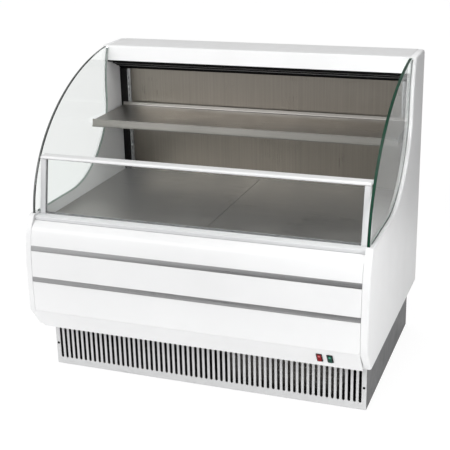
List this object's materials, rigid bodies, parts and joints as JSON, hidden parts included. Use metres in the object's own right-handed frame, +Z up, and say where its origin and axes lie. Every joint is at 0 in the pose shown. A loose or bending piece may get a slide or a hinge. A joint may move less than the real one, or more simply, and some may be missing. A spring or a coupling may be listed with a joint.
{
  "type": "refrigerated deli case",
  "caption": "Open-front refrigerated deli case with curved end panes, low front glass, shelf, night curtain and grilled machine base.",
  "frame": {"origin": "on the floor under the middle of the case", "axes": "+X towards the end with the switches (the customer's right), -Y the open front, +Z up"},
  "size_m": [1.276, 0.9, 1.1455],
  "materials": {
    "white_paint": "smooth white powder coat",
    "white_lining": "white moulded lining",
    "accent_grey": "satin dark grey strip",
    "dark_paint": "satin dark grey",
    "black_plastic": "black plastic",
    "stainless": "brushed stainless",
    "galvanised": "galvanised sheet",
    "coil_metal": "aluminium fins",
    "clear_glass": "clear glass, green at its edges",
    "curtain_cloth": "woven aluminised curtain",
    "lamp_lens": "opal lamp lens",
    "red_lens": "red translucent rocker",
    "green_lens": "green translucent rocker"
  },
  "bodies": {
    "cabinet": {"base_pan": "galvanised", "base_side_left": "dark_paint", "base_side_right": "dark_paint", "base_rear_grille": "dark_paint", "front_grille": "white_paint", "grille_screw_left": "black_plastic", "grille_screw_right": "black_plastic", "tub": "white_lining", "end_wall_left": "white_paint", "end_wall_right": "white_paint", "upper_panel": "white_paint", "middle_panel": "white_paint", "lower_panel": "white_paint", "upper_accent_strip": "accent_grey", "lower_accent_strip": "accent_grey", "switch_panel": "white_paint", "switch_bezel_red": "black_plastic", "switch_bezel_green": "black_plastic", "front_ledge": "stainless", "front_glass": "clear_glass", "glass_rail": "white_paint", "glass_post_left": "white_paint", "glass_post_right": "white_paint", "end_glass_left": "clear_glass", "end_glass_right": "clear_glass", "canopy": "white_paint", "curtain_valance": "black_plastic", "discharge_grille": "black_plastic", "outlet_trim": "black_plastic", "light_lens": "lamp_lens", "rear_panel": "stainless", "corner_strip_left": "black_plastic", "corner_strip_right": "black_plastic", "shelf_standard_left": "galvanised", "shelf_standard_right": "galvanised", "shelf": "stainless", "price_rail": "stainless", "shelf_bracket_left": "white_paint", "shelf_bracket_right": "white_paint", "deck_pan_left": "stainless", "deck_pan_right": "stainless", "return_grille": "stainless", "evaporator_coil": "stainless", "evaporator_fan_panel": "galvanised", "compressor": "black_plastic", "condenser_coil": "coil_metal", "condenser_fan_shroud": "galvanised", "control_box": "galvanised"},
    "curtain_roller": {"curtain_roller": "galvanised", "curtain_roll": "curtain_cloth"},
    "curtain_pull_bar": {"curtain_pull_bar": "black_plastic"},
    "rocker_red": {"rocker_red": "red_lens"},
    "rocker_green": {"rocker_green": "green_lens"},
    "condenser_fan": {"condenser_fan": "black_plastic"},
    "evaporator_fan_left": {"evaporator_fan_left": "black_plastic"},
    "evaporator_fan_right": {"evaporator_fan_right": "black_plastic"},
    "foot_front_left": {"foot_front_left": "galvanised"},
    "foot_front_right": {"foot_front_right": "galvanised"},
    "foot_rear_left": {"foot_rear_left": "galvanised"},
    "foot_rear_right": {"foot_rear_right": "galvanised"}
  },
  "joints": [
    {"name": "curtain_pull", "type": "slide", "parent": "cabinet", "child": "curtain_pull_bar", "axis": [0, -0.9356, -0.3531], "range_m": [0, 0.637], "stiffness_N_per_m": 30, "springref_m": -0.45},
    {"name": "curtain_wind", "type": "hinge", "parent": "cabinet", "child": "curtain_roller", "pos_m": [0, 0.3, 1.112], "axis": [1, 0, 0], "range_deg": [0, 1960]},
    {"name": "red_switch", "type": "hinge", "parent": "cabinet", "child": "rocker_red", "pos_m": [0.467, -0.424, 0.24025], "axis": [1, 0, 0], "range_deg": [0, 14]},
    {"name": "green_switch", "type": "hinge", "parent": "cabinet", "child": "rocker_green", "pos_m": [0.504, -0.424, 0.24025], "axis": [1, 0, 0], "range_deg": [0, 14]},
    {"name": "condenser_fan_spin", "type": "hinge", "parent": "cabinet", "child": "condenser_fan", "pos_m": [0.3, -0.215, 0.105], "axis": [0, 1, 0], "continuous": true},
    {"name": "evaporator_fan_left_spin", "type": "hinge", "parent": "cabinet", "child": "evaporator_fan_left", "pos_m": [-0.25, 0.055, 0.345], "axis": [0, 1, 0], "continuous": true},
    {"name": "evaporator_fan_right_spin", "type": "hinge", "parent": "cabinet", "child": "evaporator_fan_right", "pos_m": [0.25, 0.055, 0.345], "axis": [0, 1, 0], "continuous": true},
    {"name": "foot_front_left_turn", "type": "hinge", "parent": "cabinet", "child": "foot_front_left", "pos_m": [-0.54, -0.27, 0], "axis": [0, 0, 1], "continuous": true},
    {"name": "foot_front_right_turn", "type": "hinge", "parent": "cabinet", "child": "foot_front_right", "pos_m": [0.54, -0.27, 0], "axis": [0, 0, 1], "continuous": true},
    {"name": "foot_rear_left_turn", "type": "hinge", "parent": "cabinet", "child": "foot_rear_left", "pos_m": [-0.54, 0.38, 0], "axis": [0, 0, 1], "continuous": true},
    {"name": "foot_rear_right_turn", "type": "hinge", "parent": "cabinet", "child": "foot_rear_right", "pos_m": [0.54, 0.38, 0], "axis": [0, 0, 1], "continuous": true}
  ],
  "couplings": [
    {"joint": "curtain_wind", "follows": "curtain_pull", "rad_per_m": 50}
  ]
}
